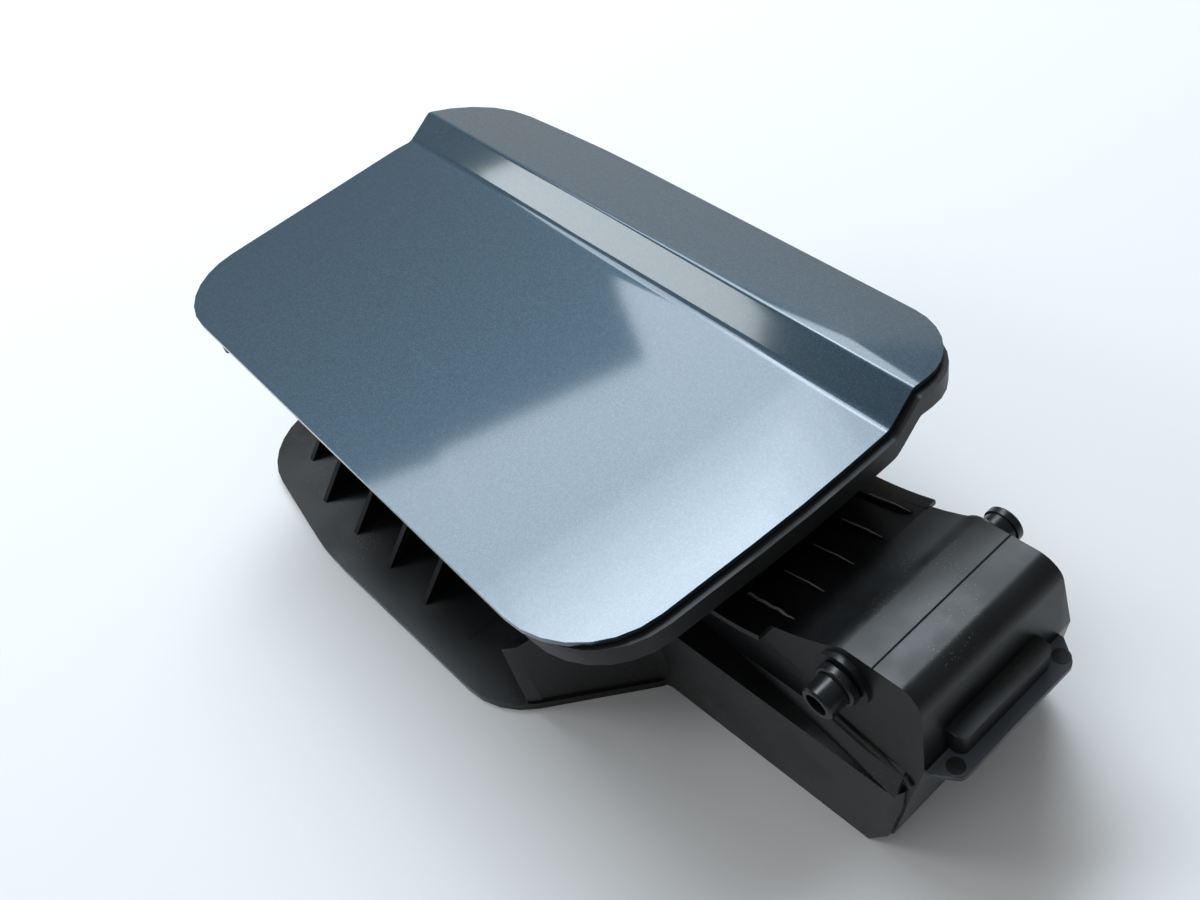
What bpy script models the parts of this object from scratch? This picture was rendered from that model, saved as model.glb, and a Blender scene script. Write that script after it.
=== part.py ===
"""Fuel filler flap of a car: a painted flap on a gooseneck hinge in a moulded housing.

Sizes are in metres. The design datum is the far lower corner of the flap's main panel: X runs along
the flap's crease towards the hinge, Y runs across it towards the upper strip, and Z points out of
the car, so everything behind the panel has a negative height. An empty carries all the pieces from
that datum to the middle of the footprint, on the plane that the housing lies on.
"""

import math

import bmesh
import bpy
from mathutils import Matrix, Vector

# General
GAP = 0.0003
ARC_STEP = math.radians(13)
ROUND_SIDES = 32
SMALL_SIDES = 20

# Painted flap
FLAP_LENGTH = 0.1873
LOWER_PANEL = 0.086
RAMP_RUN = 0.0077
RAMP_RISE = 0.0067
CREASE_BLEND = 0.0012
STRIP_RUN = 0.0207
STRIP_FALL = 0.0027
LOWER_FAR_RADIUS = 0.021
LOWER_HINGE_RADIUS = 0.024
UPPER_HINGE_RADIUS = 0.0167
UPPER_FAR_RADIUS = 0.032
LOWER_SETBACK = 0.0041
SWELL_HEIGHT = 0.060
CROWN_X = 0.062
CROWN_DROP = 0.0044
EDGE_RADIUS = 0.400
SKIN = 0.0010
HEM = 0.0015

# Inner panel of the flap
CARRIER_PLATE = 0.0020
BAND_DEPTH = 0.0075
BAND_PROUD = 0.0020
BAND_TUCK = 0.0020
BAND_WIDTH = 0.0042
RIB = 0.0016
RIB_FOOT = 0.0077
BOSS_RADIUS = 0.0042

# Hinge
AXLE_X = 0.212
AXLE_DEPTH = 0.019
AXLE_RADIUS = 0.0040
RUNNING_FIT = 0.00006
HEAD_RADIUS = 0.0044
HEAD_THICKNESS = 0.0020
AXLE_NEAR_REACH = 0.0077
AXLE_FAR_REACH = 0.0063
AXLE_BORE_RADIUS = 0.0026
AXLE_BORE_DEPTH = 0.009
CLIP_RADIUS = 0.0051
CLIP_THICKNESS = 0.0023
WASHER_RADIUS = 0.0059
WASHER_THICKNESS = 0.0013

# Gooseneck arm
HUB_RADIUS = 0.0058
HUB_CLEARANCE = 0.0005
ARM_WIDTH = 0.030
ARM_THICKNESS = 0.0056
ARM_SHEET = 0.0026
ARM_RAIL = 0.0045
SHOULDER_RADIUS = 0.0075
NECK_CLEARANCE = 0.010
NECK_END = math.radians(-6)
ARM_PAD_LENGTH = 0.025
FORK_RADIUS = 0.0125
FORK_WIDTH = 0.014

# Spring
SPRING_WIRE = 0.0007
SPRING_RADIUS = 0.0052
SPRING_TURNS = 6
SPRING_LENGTH = 0.0115

# Housing
DEPTH = 0.070
WALL = 0.0024
FLANGE = 0.0025
FLANGE_PROUD = 0.0083
FLANGE_SIDE_PROUD = 0.0032
BOWL_SIDE_INSET = 0.009
BOWL_EDGE_INSET = 0.016
BOWL_HINGE_X = 0.173
BOWL_RADIUS = 0.022
BOWL_TURN_X = 0.139
BOWL_TURN_RADIUS = 0.014
BOWL_RIM = 0.013
THROAT_HALF = 0.023
THROAT_X = 0.158
THROAT_RADIUS = 0.007
RIM_LIP = 0.005
RIM_LIP_THICKNESS = 0.0016
FLOOR = 0.0024
FLOOR_RISE = 0.008
GUSSET_PITCH = 0.0186
GUSSET_FIRST = 0.0173
GUSSET_COUNT = 6
GUSSET_THICKNESS = 0.0018
GUSSET_TOP = 0.046
GUSSET_SETBACK = 0.0062
TRIM = 0.0005

# Hinge pocket
POCKET_MIDDLE = 0.0650
POCKET_WIDTH = 0.0416
POCKET_WALL = 0.0020
POCKET_TOP = 0.0093
POCKET_SPLAY = math.radians(6.5)
POCKET_START_X = 0.1535
POCKET_HOLLOW_X = 0.157
LIP_X = 0.1765
LIP_DEPTH = 0.0256
CREST_X = 0.211
CREST_DEPTH = 0.0103
ROOF_SAG = 0.0023
NEAR_WING = 0.0036
NEAR_WING_X = 0.1915
FAR_WING = 0.0021
FAR_WING_X = 0.1972
WING_THICKNESS = 0.0016
WING_STEP = 0.00012
NOSE_X = 0.2302
NOSE_RADIUS = 0.0058
TAB_X = 0.2327
TAB_DEPTH = 0.0293
TOE_X = 0.2277
TOE_RISE = 0.0087
HEEL_X = 0.2219
TAB_LENGTH = 0.0063
TAB_THICKNESS = 0.0016
BLOCK_DEPTH = 0.0035
BLOCK_HEIGHT = 0.0066
BLOCK_LENGTH = 0.0285
PIN_BOSS_RADIUS = 0.0066
FIN_COUNT = 5
FIN_PITCH = 0.0093
FIN_END_X = 0.195
FIN_THICKNESS = 0.0009
FIN_HEIGHT = 0.0011
LEDGE_RISE = 0.029
CHAMBER_X = 0.115
CHAMBER_CORNER_X = 0.1339
CHAMBER_NECK_X = 0.160
CHAMBER_NECK_HALF = 0.0338
CHAMBER_TOE_X = 0.2312
CHAMBER_TOE_HALF = 0.0289
CHAMBER_FRONT_SETBACK = 0.0005
CHAMBER_INSET = 0.0006
CHAMBER_DRAFT = 0.0012

# Filler neck, drain and lock
NECK_X = 0.088
NECK_Y = 0.0575
NECK_HOLE = 0.031
DRAIN_X = 0.030
DRAIN_Y = 0.036
DRAIN_HOLE = 0.0040
LOCK_Y = 0.0575
LOCK_DEPTH = 0.024
LOCK_RADIUS = 0.0030
BUSH_WALL = 0.0020
LOCK_TRAVEL = 0.006
STRIKER_X = 0.015
STRIKER_THICKNESS = 0.0025
STRIKER_WIDTH = 0.016
SCREW_RADIUS = 0.0018
SCREW_HEAD_RADIUS = 0.0034
SCREW_HEAD = 0.0022
SCREW_X = (0.1505, 0.1600)
SCREW_HALF_SPACING = 0.006
CAP_HOLDER_X = 0.075
CAP_HOLDER_Y = 0.050
CAP_HOLDER_LENGTH = 0.014
BUFFER_X = 0.0088
BUFFER_SPREAD = 0.020
BUFFER_RADIUS = 0.0022

FLAP_WIDTH = LOWER_PANEL + RAMP_RUN + STRIP_RUN
CARRIER_TOP = SKIN + GAP
CARRIER_FOOT = CARRIER_TOP + CARRIER_PLATE
MIDDLE_Y = FLAP_WIDTH / 2
FLOOR_DEPTH = DEPTH - FLOOR_RISE
LEDGE_DEPTH = DEPTH - LEDGE_RISE
TOE_DEPTH = DEPTH - TOE_RISE
NECK_RADIUS = DEPTH - AXLE_DEPTH - NECK_CLEARANCE
TAB_REACH = TAB_X + TAB_LENGTH
BLOCK_REACH = TAB_X + BLOCK_DEPTH
AXLE = Vector((AXLE_X, POCKET_MIDDLE, -AXLE_DEPTH))

BLACK = (0.018, 0.019, 0.021, 1.0)
SOOT = (0.012, 0.012, 0.013, 1.0)
PAINT = (0.165, 0.245, 0.315, 1.0)
STEEL = (0.52, 0.53, 0.55, 1.0)


def start_clean():
    for thing in list(bpy.data.objects):
        bpy.data.objects.remove(thing, do_unlink=True)


def new_collection(name):
    made = bpy.data.collections.new(name)
    bpy.context.scene.collection.children.link(made)
    return made


start_clean()
PARTS = new_collection("fuel_filler_flap")
CUTTERS = new_collection("cutters")
DATUM = bpy.data.objects.new("panel_datum", None)
PARTS.objects.link(DATUM)


def finish(name, colour, roughness, metallic=0.0):
    made = bpy.data.materials.new(name)
    made.use_nodes = True
    shader = made.node_tree.nodes["Principled BSDF"]
    shader.inputs["Base Color"].default_value = colour
    shader.inputs["Roughness"].default_value = roughness
    shader.inputs["Metallic"].default_value = metallic
    return made


# Outlines


def rounded(corners):
    """Closed outline through corners of (x, y, radius), with an arc at each corner."""
    points = []
    for index, (x, y, radius) in enumerate(corners):
        here = Vector((x, y))
        back = (Vector(corners[index - 1][:2]) - here).normalized()
        ahead = (Vector(corners[(index + 1) % len(corners)][:2]) - here).normalized()
        points += arc_at(here, back, ahead, radius)
    return points


def arc_at(here, back, ahead, radius):
    """Arc that rounds one corner, from the side that leads back to the side that leads ahead."""
    if radius == 0:
        return [here]
    turn = math.pi - back.angle(ahead)
    centre = here + (back + ahead).normalized() * radius / math.cos(turn / 2)
    first = here + back * radius * math.tan(turn / 2) - centre
    way = 1.0 if back.x * ahead.y - back.y * ahead.x < 0 else -1.0
    steps = max(2, math.ceil(turn / ARC_STEP))
    arc = []
    for step in range(steps + 1):
        spin = Matrix.Rotation(way * turn * step / steps, 2)
        arc.append(centre + spin @ first)
    return arc


def inset(points, gap):
    """Counter-clockwise outline moved inwards by a gap, or outwards where the gap is negative."""
    moved = []
    for index, here in enumerate(points):
        before = (here - points[index - 1]).normalized()
        after = (points[(index + 1) % len(points)] - here).normalized()
        normal = Vector((-before.y - after.y, before.x + after.x)).normalized()
        moved.append(here + normal * gap / normal.dot(Vector((-before.y, before.x))))
    return moved


def sagging_line(start, end, sag, steps):
    """Points of a shallow arc between two places, hollow by sag on its left side."""
    chord = end - start
    side = Vector((chord.y, -chord.x)).normalized()
    points = []
    for step in range(steps + 1):
        share = step / steps
        points.append(start + chord * share + side * sag * 4 * share * (1 - share))
    return points


# Meshes


def welded(mesh):
    shape = bmesh.new()
    shape.from_mesh(mesh)
    bmesh.ops.remove_doubles(shape, verts=shape.verts, dist=1e-6)
    bmesh.ops.recalc_face_normals(shape, faces=shape.faces)
    shape.to_mesh(mesh)
    shape.free()
    return mesh


def without_flat_edges(mesh):
    """Mesh whose flat faces are each one polygon."""
    shape = bmesh.new()
    shape.from_mesh(mesh)
    bmesh.ops.dissolve_limit(shape, angle_limit=math.radians(0.1), verts=shape.verts, edges=shape.edges)
    shape.to_mesh(mesh)
    shape.free()
    return mesh


def evaluated_mesh(thing):
    bpy.context.view_layer.update()
    scene = bpy.context.evaluated_depsgraph_get()
    mesh = bpy.data.meshes.new_from_object(thing.evaluated_get(scene))
    mesh.transform(thing.matrix_world)
    bpy.data.objects.remove(thing, do_unlink=True)
    return welded(mesh)


def prism(outline, low, high):
    """Upright solid between two heights, over a closed outline in X and Y."""
    curve = bpy.data.curves.new("outline", "CURVE")
    curve.dimensions = "2D"
    curve.fill_mode = "BOTH"
    curve.extrude = (high - low) / 2
    spline = curve.splines.new("POLY")
    spline.points.add(len(outline) - 1)
    for point, place in zip(spline.points, outline):
        point.co = (place[0], place[1], 0, 1)
    spline.use_cyclic_u = True
    guide = bpy.data.objects.new("outline", curve)
    guide.location.z = (high + low) / 2
    CUTTERS.objects.link(guide)
    return evaluated_mesh(guide)


def side_solid(outline, near, far):
    """Solid across Y between two places, over a closed outline in X and Z."""
    mesh = prism(outline, -far, -near)
    mesh.transform(Matrix(((1, 0, 0, 0), (0, 0, -1, 0), (0, 1, 0, 0), (0, 0, 0, 1))))
    return mesh


def cross_solid(outline, start, end):
    """Solid along X between two places, over a closed outline in Y and Z."""
    mesh = prism(outline, start, end)
    mesh.transform(Matrix(((0, 0, 1, 0), (1, 0, 0, 0), (0, 1, 0, 0), (0, 0, 0, 1))))
    return mesh


def box(low, high):
    shape = bmesh.new()
    bmesh.ops.create_cube(shape, size=1)
    size = Vector(high) - Vector(low)
    middle = (Vector(high) + Vector(low)) / 2
    bmesh.ops.scale(shape, vec=size, verts=shape.verts)
    bmesh.ops.translate(shape, vec=middle, verts=shape.verts)
    return to_mesh(shape)


def drum(radius, start, end, sides=ROUND_SIDES, end_radius=None):
    """Cylinder, or cone, between two places."""
    start = Vector(start)
    end = Vector(end)
    shape = bmesh.new()
    bmesh.ops.create_cone(
        shape,
        cap_ends=True,
        segments=sides,
        radius1=radius,
        radius2=radius if end_radius is None else end_radius,
        depth=(end - start).length,
    )
    turn = (end - start).to_track_quat("Z", "Y").to_matrix().to_4x4()
    bmesh.ops.transform(shape, matrix=Matrix.Translation((start + end) / 2) @ turn, verts=shape.verts)
    return to_mesh(shape)


def to_mesh(shape):
    mesh = bpy.data.meshes.new("shape")
    shape.to_mesh(mesh)
    shape.free()
    return mesh


def joined(meshes):
    """One mesh that holds several shapes."""
    shape = bmesh.new()
    for mesh in meshes:
        shape.from_mesh(mesh)
    return to_mesh(shape)


def turned(profile, place, axis="Z", closed=False, sides=ROUND_SIDES):
    """Turned piece: a profile of (radius, height), down its outer side, swept about an axis."""
    mesh = bpy.data.meshes.new("profile")
    count = len(profile)
    edges = [(index, index + 1) for index in range(count - 1)]
    if closed:
        edges.append((count - 1, 0))
    mesh.from_pydata([(radius, 0, height) for radius, height in profile], edges, [])
    guide = bpy.data.objects.new("profile", mesh)
    CUTTERS.objects.link(guide)
    screw = guide.modifiers.new("turn", "SCREW")
    screw.angle = math.tau
    screw.steps = sides
    screw.render_steps = sides
    screw.use_merge_vertices = True
    screw.merge_threshold = 1e-5
    solid = evaluated_mesh(guide)
    turns = {
        "Z": Matrix.Identity(4),
        "X": Matrix.Rotation(math.radians(90), 4, "Y"),
        "Y": Matrix.Rotation(math.radians(-90), 4, "X"),
    }
    solid.transform(Matrix.Translation(place) @ turns[axis])
    return solid


def smooth(mesh, angle=math.radians(35)):
    mesh.shade_smooth()
    mesh.set_sharp_from_angle(angle=angle)


# Objects


def piece(name, mesh, material, pivot=(0, 0, 0), parent=None):
    """Sub-part of the flap, with its origin at a pivot that is given from the datum."""
    pivot = Vector(pivot)
    mesh.transform(Matrix.Translation(-pivot))
    smooth(mesh)
    thing = bpy.data.objects.new(name, mesh)
    thing.location = pivot
    thing.parent = parent or DATUM
    thing.data.materials.append(material)
    PARTS.objects.link(thing)
    return thing


def tool(mesh, name):
    thing = bpy.data.objects.new(name, mesh)
    thing.parent = DATUM
    thing.hide_render = True
    thing.display_type = "WIRE"
    CUTTERS.objects.link(thing)
    return thing


def shape_with(thing, operation, mesh, label):
    """Add a Boolean to an object, with a tool made from a mesh."""
    helper = mesh if isinstance(mesh, bpy.types.Object) else tool(mesh, f"{thing.name}_{label}")
    step = thing.modifiers.new(label, "BOOLEAN")
    step.operation = operation
    step.solver = "EXACT"
    step.object = helper
    return helper


def join(thing, mesh, label):
    return shape_with(thing, "UNION", mesh, label)


def cut(thing, mesh, label):
    return shape_with(thing, "DIFFERENCE", mesh, label)


def trim(thing, mesh, label):
    return shape_with(thing, "INTERSECT", mesh, label)


# Flap


def flap_corners(proud=0.0):
    """Corners of the flap seen from outside, with the hinge edge moved out by proud."""
    return [
        (0.0, 0.0, LOWER_FAR_RADIUS),
        (FLAP_LENGTH - LOWER_SETBACK + proud, 0.0, LOWER_HINGE_RADIUS),
        (FLAP_LENGTH + proud, SWELL_HEIGHT, EDGE_RADIUS),
        (FLAP_LENGTH + proud, FLAP_WIDTH, UPPER_HINGE_RADIUS),
        (CROWN_X, FLAP_WIDTH, EDGE_RADIUS),
        (0.0, FLAP_WIDTH - CROWN_DROP, UPPER_FAR_RADIUS),
    ]


def panel_section():
    """Half section of the outer face in Y and Z: main panel, hollow crease, ramp, crest and strip."""
    crest = LOWER_PANEL + RAMP_RUN
    slope = RAMP_RISE / RAMP_RUN
    margin = 0.01
    fall = STRIP_FALL / STRIP_RUN
    return [
        Vector((-margin, 0)),
        Vector((LOWER_PANEL - CREASE_BLEND, 0)),
        Vector((LOWER_PANEL, CREASE_BLEND * slope / 4)),
        Vector((LOWER_PANEL + CREASE_BLEND, CREASE_BLEND * slope)),
        Vector((crest - CREASE_BLEND / 2, RAMP_RISE - CREASE_BLEND * slope / 2)),
        Vector((crest, RAMP_RISE - CREASE_BLEND * slope / 8)),
        Vector((crest + CREASE_BLEND / 2, RAMP_RISE - CREASE_BLEND * fall / 2)),
        Vector((FLAP_WIDTH + margin, RAMP_RISE - STRIP_FALL - fall * margin)),
    ]


def panel_slab(top, foot):
    """Layer of the flap between two depths under its outer face, longer and wider than the flap."""
    section = panel_section()
    under = [point - Vector((0, foot)) for point in section]
    over = [point - Vector((0, top)) for point in reversed(section)]
    return cross_solid(under + over, -0.02, FLAP_LENGTH + 0.02)


def flap_prism(gap=0.0, proud=0.0):
    return prism(inset(rounded(flap_corners(proud)), gap), -0.03, 0.03)


def band_prism(gap=0.0):
    """Outline of the inner panel's rim: proud of the hinge edge, and tucked in on the other sides."""
    return flap_prism(BAND_TUCK + gap, BAND_PROUD + BAND_TUCK)


def make_skin():
    skin = piece("flap_skin", panel_slab(0, HEM), finish("flap_paint", PAINT, 0.28, 0.6))
    trim(skin, flap_prism(), "outline")
    hollow = tool(panel_slab(SKIN, HEM + 0.01), "flap_skin_hollow")
    trim(hollow, flap_prism(SKIN), "inner_outline")
    cut(skin, hollow, "hollow")


def make_carrier():
    black = finish("carrier_plastic", SOOT, 0.55)
    carrier = piece("flap_carrier", panel_slab(CARRIER_TOP, CARRIER_FOOT), black)
    trim(carrier, flap_prism(SKIN + GAP), "outline")
    band = tool(panel_slab(HEM + GAP, BAND_DEPTH), "flap_carrier_band")
    trim(band, band_prism(), "outline")
    cut(band, band_prism(BAND_WIDTH), "inside")
    join(carrier, band, "band")
    ribs = tool(carrier_ribs(), "flap_carrier_ribs")
    trim(ribs, band_prism(BAND_WIDTH / 2), "outline")
    join(carrier, ribs, "ribs")
    fixings = screw_places() + [striker_screw_place()]
    bosses = []
    holes = []
    for x, y in fixings:
        root = (x, y, -CARRIER_FOOT + SKIN)
        bosses.append(drum(BOSS_RADIUS, root, (x, y, -RIB_FOOT), SMALL_SIDES))
        bottom = (x, y, -CARRIER_TOP - SKIN)
        holes.append(drum(SCREW_RADIUS + GAP, bottom, (x, y, -DEPTH), SMALL_SIDES))
    join(carrier, joined(bosses), "bosses")
    cut(carrier, joined(holes), "screw_holes")


def screw_places():
    return [(x, POCKET_MIDDLE + side * SCREW_HALF_SPACING) for x in SCREW_X for side in (-1, 1)]


def striker_screw_place():
    return (STRIKER_X + STRIKER_WIDTH * 0.62, LOCK_Y)


def carrier_ribs():
    """Ribs under the main panel: three along the flap and five across it."""
    along = [0.022, 0.043, 0.0785]
    across = [0.030, 0.062, 0.094, 0.126, 0.172]
    top = -CARRIER_FOOT + SKIN
    ribs = []
    for y in along:
        ribs.append(box((0, y - RIB / 2, -RIB_FOOT + 2 * GAP), (FLAP_LENGTH, y + RIB / 2, top)))
    for x in across:
        ribs.append(box((x - RIB / 2, 0, -RIB_FOOT + GAP), (x + RIB / 2, LOWER_PANEL - 0.003, top)))
    first = ribs[0]
    for number, rib in enumerate(ribs[1:]):
        first = united(first, rib)
    return first


def united(first, second):
    """Union of two meshes, as a mesh."""
    base = tool(first, "base")
    other = join(base, second, "other")
    mesh = evaluated_mesh(base)
    bpy.data.objects.remove(other, do_unlink=True)
    return mesh


# Hinge arm


def arm_line():
    """Centre line of the gooseneck in X and Z, from the pad on the flap to the hub on the pin."""
    pad_height = -RIB_FOOT - GAP - ARM_THICKNESS / 2
    axle = Vector((AXLE_X, -AXLE_DEPTH))
    throat_x = AXLE_X - NECK_RADIUS
    points = [Vector((throat_x - ARM_PAD_LENGTH, pad_height))]
    corner = Vector((throat_x, pad_height))
    points += arc_at(corner, Vector((-1, 0)), Vector((0, -1)), SHOULDER_RADIUS)
    steps = math.ceil((math.pi / 2 - NECK_END) / math.radians(8))
    for step in range(steps + 1):
        angle = math.pi / 2 + (NECK_END - math.pi / 2) * step / steps
        points.append(axle - Vector((math.sin(angle), math.cos(angle))) * NECK_RADIUS)
    knee = Vector((AXLE_X + 0.0060, -AXLE_DEPTH - 0.0230))
    heading = Vector((math.cos(NECK_END), -math.sin(NECK_END)))
    heel = points[-1] + heading * 0.0050
    points += arc_at(heel, -heading, (knee - heel).normalized(), ARM_THICKNESS * 0.8)
    points.append(knee)
    points.append(axle)
    return points


def ribbon(line, left, right):
    """Closed outline along a line, between two distances to its left."""
    sides = []
    for offset in (left, right):
        side = []
        for index, here in enumerate(line):
            before = (here - line[max(index - 1, 0)])
            after = (line[min(index + 1, len(line) - 1)] - here)
            before = before.normalized() if before.length else after.normalized()
            after = after.normalized() if after.length else before
            normal = Vector((-before.y - after.y, before.x + after.x)).normalized()
            side.append(here + normal * offset / normal.dot(Vector((-before.y, before.x))))
        sides.append(side)
    return sides[1] + list(reversed(sides[0]))


def make_arm():
    line = arm_line()
    half = ARM_THICKNESS / 2
    near = POCKET_MIDDLE - ARM_WIDTH / 2
    far = POCKET_MIDDLE + ARM_WIDTH / 2
    plastic = finish("arm_plastic", BLACK, 0.45)
    arm = piece("hinge_arm", side_solid(ribbon(line, half, -half), near, far), plastic, AXLE)
    hub_end = hub_span()
    join(arm, drum(HUB_RADIUS, (AXLE_X, hub_end[0], -AXLE_DEPTH), (AXLE_X, hub_end[1], -AXLE_DEPTH)), "hub")
    trough = [line[0] - Vector((0.01, 0))] + line[1:-2]
    channel = ribbon(trough, half - ARM_SHEET, -half - 0.002)
    cut(arm, side_solid(channel, near + ARM_RAIL, far - ARM_RAIL), "channel")
    join(arm, arm_ribs(), "ribs")
    fork = drum(FORK_RADIUS, (AXLE_X, POCKET_MIDDLE - FORK_WIDTH / 2, -AXLE_DEPTH),
                (AXLE_X, POCKET_MIDDLE + FORK_WIDTH / 2, -AXLE_DEPTH))
    cut(arm, fork, "fork")
    bore = drum(AXLE_RADIUS + RUNNING_FIT, (AXLE_X, 0, -AXLE_DEPTH), (AXLE_X, FLAP_WIDTH, -AXLE_DEPTH))
    cut(arm, bore, "bore")
    hole = SCREW_RADIUS + GAP
    holes = [drum(hole, (x, y, 0), (x, y, -AXLE_DEPTH), SMALL_SIDES) for x, y in screw_places()]
    cut(arm, joined(holes), "screw_holes")


def hub_span():
    """Near and far ends of the arm's hub, a washer and its gaps away from the pocket's bosses."""
    seat = boss_face() + GAP + WASHER_THICKNESS + GAP
    return seat, 2 * POCKET_MIDDLE - seat


def arm_ribs():
    """Thin webs across the gooseneck's channel, square to its centre line."""
    axle = Vector((AXLE_X, -AXLE_DEPTH))
    near = POCKET_MIDDLE - ARM_WIDTH / 2 + ARM_RAIL / 2
    far = POCKET_MIDDLE + ARM_WIDTH / 2 - ARM_RAIL / 2
    ribs = []
    for degrees in (12, 34, 56, 78):
        angle = math.radians(degrees)
        out = Vector((-math.sin(angle), -math.cos(angle)))
        side = Vector((out.y, -out.x)) * RIB / 2
        inner = axle + out * (NECK_RADIUS - ARM_SHEET / 2)
        outer = axle + out * (NECK_RADIUS + ARM_THICKNESS / 2 - GAP)
        outline = [inner - side, inner + side, outer + side, outer - side]
        ribs.append(side_solid(outline, near, far))
    return joined(ribs)


# Housing


def flange_corners():
    """Corners of the mounting flange, which stands proud of the flap all round."""
    near = [
        (-FLANGE_SIDE_PROUD, -0.0010, 0.024),
        (0.050, -FLANGE_PROUD, 0.060),
        (0.062, -FLANGE_PROUD, 0.060),
        (CHAMBER_CORNER_X, -0.0052, 0.024),
    ]
    far = [(x, FLAP_WIDTH - y, radius) for x, y, radius in reversed(near)]
    hinge = [(CHAMBER_NECK_X, pocket_edge(-1), 0.004), (CHAMBER_NECK_X, pocket_edge(1), 0.004)]
    return near + hinge + far


def pocket_edge(side):
    """Place in Y of the lower chamber's wall where the pocket leaves the bowl."""
    return POCKET_MIDDLE + side * CHAMBER_NECK_HALF


def bowl_outline():
    """Wide bowl that narrows to the throat, where the pocket leaves it."""
    near = BOWL_EDGE_INSET
    far = FLAP_WIDTH - BOWL_EDGE_INSET
    left = BOWL_SIDE_INSET
    far_turn = BOWL_TURN_X + (POCKET_MIDDLE - MIDDLE_Y)
    throat = (POCKET_MIDDLE - THROAT_HALF, POCKET_MIDDLE + THROAT_HALF)
    return rounded([
        (left, near, BOWL_RADIUS),
        (BOWL_TURN_X, near, BOWL_TURN_RADIUS),
        (THROAT_X, throat[0], THROAT_RADIUS),
        (BOWL_HINGE_X, throat[0], 0.0),
        (BOWL_HINGE_X, throat[1], 0.0),
        (THROAT_X, throat[1] + FLOOR, THROAT_RADIUS),
        (far_turn, far, BOWL_TURN_RADIUS),
        (left, far, BOWL_RADIUS),
    ])


def chamber_outline():
    """Lower chamber: from the bowl's hinge end, round the flange's corners, to the pocket's toe."""
    flange = flange_corners()
    near_corner = flange[3]
    far_corner = flange[6]
    corners = [
        (CHAMBER_X, near_corner[1] - 0.0006, 0.006),
        near_corner,
        (CHAMBER_NECK_X, pocket_edge(-1), 0.004),
        (CHAMBER_TOE_X, POCKET_MIDDLE - CHAMBER_TOE_HALF, 0.005),
        (CHAMBER_TOE_X, POCKET_MIDDLE + CHAMBER_TOE_HALF, 0.005),
        (CHAMBER_NECK_X, pocket_edge(1), 0.004),
        far_corner,
        (CHAMBER_X, far_corner[1] + 0.0006, 0.006),
    ]
    return inset(rounded(corners), CHAMBER_INSET)


def pocket_section():
    """Outer section of the pocket in X and Z: floor, toe, front, nose, box top, hollow roof and lip."""
    section = [
        Vector((POCKET_START_X, -DEPTH - 4 * TRIM)),
        Vector((HEEL_X - TRIM, -DEPTH - 4 * TRIM)),
        Vector((TOE_X, -TOE_DEPTH)),
        Vector((TAB_X, -TAB_DEPTH)),
    ]
    nose = Vector((NOSE_X, -POCKET_TOP + 0.0004))
    section += arc_at(nose, (Vector((TAB_X, -TAB_DEPTH)) - nose).normalized(), Vector((-1, 0)), NOSE_RADIUS)
    section += sagging_line(Vector((CREST_X, -CREST_DEPTH)), Vector((LIP_X, -LIP_DEPTH)), -ROOF_SAG, 7)
    section.append(Vector((POCKET_START_X, -LIP_DEPTH - 0.001)))
    return section


def front_wedge(section, setback):
    """Everything in front of the pocket's front wall, from a setback behind its face."""
    moved = inset(section, setback)
    heel = moved[1] + (moved[1] - moved[2]) / 2
    clear = Vector((TAB_REACH + DEPTH, 0))
    outline = [heel, clear + Vector((0, heel.y)), clear + Vector((0, moved[3].y)), moved[3], moved[2]]
    return side_solid(outline, -DEPTH, FLAP_WIDTH + DEPTH)


def roof_wings(near, far):
    """Strips of the roof that stand out past the pocket's side walls, next to the bowl."""
    root = POCKET_WALL / 2
    steps = 6
    wings = []
    for last, start, end in (
        (NEAR_WING_X, near - NEAR_WING, near + root),
        (FAR_WING_X, far - root, far + FAR_WING),
    ):
        first = LIP_X - 0.003
        stations = [first + (last - first) * step / steps for step in range(steps + 1)]
        top = [Vector((x, roof_height(x) - WING_STEP)) for x in stations]
        foot = [point - Vector((0, WING_THICKNESS)) for point in top]
        wings.append(splayed(side_solid(foot + list(reversed(top)), start, end)))
    return wings


def splayed(mesh):
    """Spread the pocket's side walls outwards as they go down."""
    for vertex in mesh.vertices:
        side = 1 if vertex.co.y > POCKET_MIDDLE else -1
        vertex.co.y += side * (-POCKET_TOP - vertex.co.z) * math.tan(POCKET_SPLAY)
    return mesh


def boss_face():
    """Place in Y of the near pin boss's inner face."""
    wall = POCKET_MIDDLE - POCKET_WIDTH / 2 + POCKET_WALL
    return wall - (AXLE_DEPTH - POCKET_TOP) * math.tan(POCKET_SPLAY) + 0.0006


def boss_outer_face():
    wall = POCKET_MIDDLE - POCKET_WIDTH / 2
    return wall - (AXLE_DEPTH - POCKET_TOP) * math.tan(POCKET_SPLAY) - 0.0008


def gussets():
    """Triangular webs from the flange up to the bowl wall, along both long sides."""
    webs = []
    top = -GUSSET_TOP
    foot = -DEPTH + FLANGE / 2
    reach = top - foot
    depth = BOWL_EDGE_INSET + BOWL_RADIUS / 2
    for side in (-1, 1):
        for number in range(GUSSET_COUNT):
            x = GUSSET_FIRST + number * GUSSET_PITCH
            setback = GUSSET_SETBACK if number == 0 else 0.0
            tip = MIDDLE_Y + side * (MIDDLE_Y - setback)
            toe = Vector((tip, foot))
            heel = Vector((tip - side * reach, top))
            back = Vector((tip - side * depth, top))
            root = Vector((tip - side * depth, foot))
            outline = [toe, root, back, heel] if side < 0 else [heel, back, root, toe]
            webs.append(cross_solid(outline, x - GUSSET_THICKNESS / 2, x + GUSSET_THICKNESS / 2))
    return joined(webs)


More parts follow.
